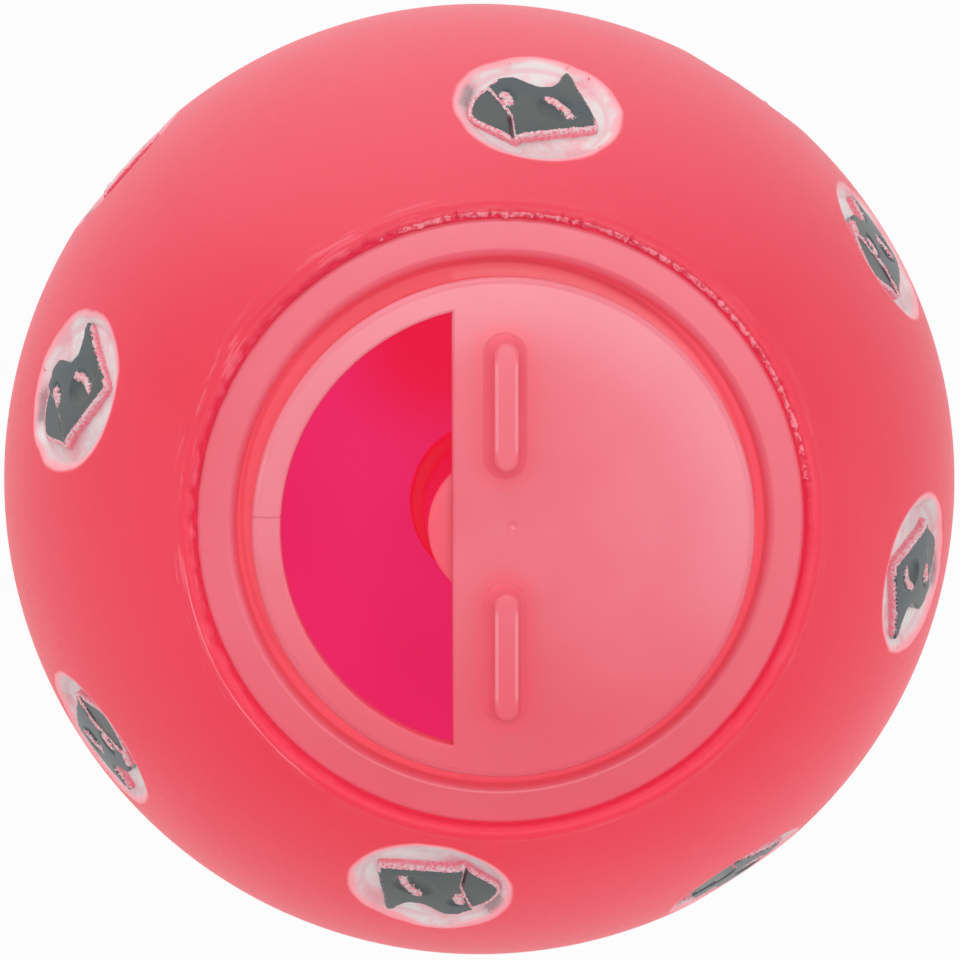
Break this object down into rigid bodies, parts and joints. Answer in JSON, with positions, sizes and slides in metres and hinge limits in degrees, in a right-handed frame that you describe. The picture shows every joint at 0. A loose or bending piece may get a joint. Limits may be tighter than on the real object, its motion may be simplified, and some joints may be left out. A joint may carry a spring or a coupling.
{
  "type": "treat dispensing ball",
  "caption": "Soft ball with a rotating dial in its mouth that opens and closes a D-shaped treat window; raised cat heads lie in round dishes over its skin.",
  "frame": {"origin": "centre of the ball", "axes": "+Z out of the mouth along the dial's axis, +Y up in the pictured position, +X to its right; the open window lies towards -X"},
  "size_m": [0.07, 0.07, 0.066],
  "materials": {
    "vinyl": "semi-matte soft vinyl, coral red",
    "cap_plastic": "satin moulded plastic, pale coral pink",
    "dial_plastic": "satin moulded plastic, pale coral pink, slightly translucent",
    "pivot_plastic": "moulded plastic, coral",
    "dish_paint": "sprayed off-white paint, worn",
    "head_paint": "sprayed dark grey paint, worn at its edges"
  },
  "bodies": {
    "ball": {"ball_shell": "vinyl", "cap_body": "cap_plastic"},
    "dial": {"dial_disc": "dial_plastic", "pivot_cap": "pivot_plastic"}
  },
  "joints": [
    {"name": "dial_turn", "type": "hinge", "parent": "ball", "child": "dial", "pos_m": [0.0001, -0.00026, 0.02], "axis": [0, 0, 1], "continuous": true}
  ]
}
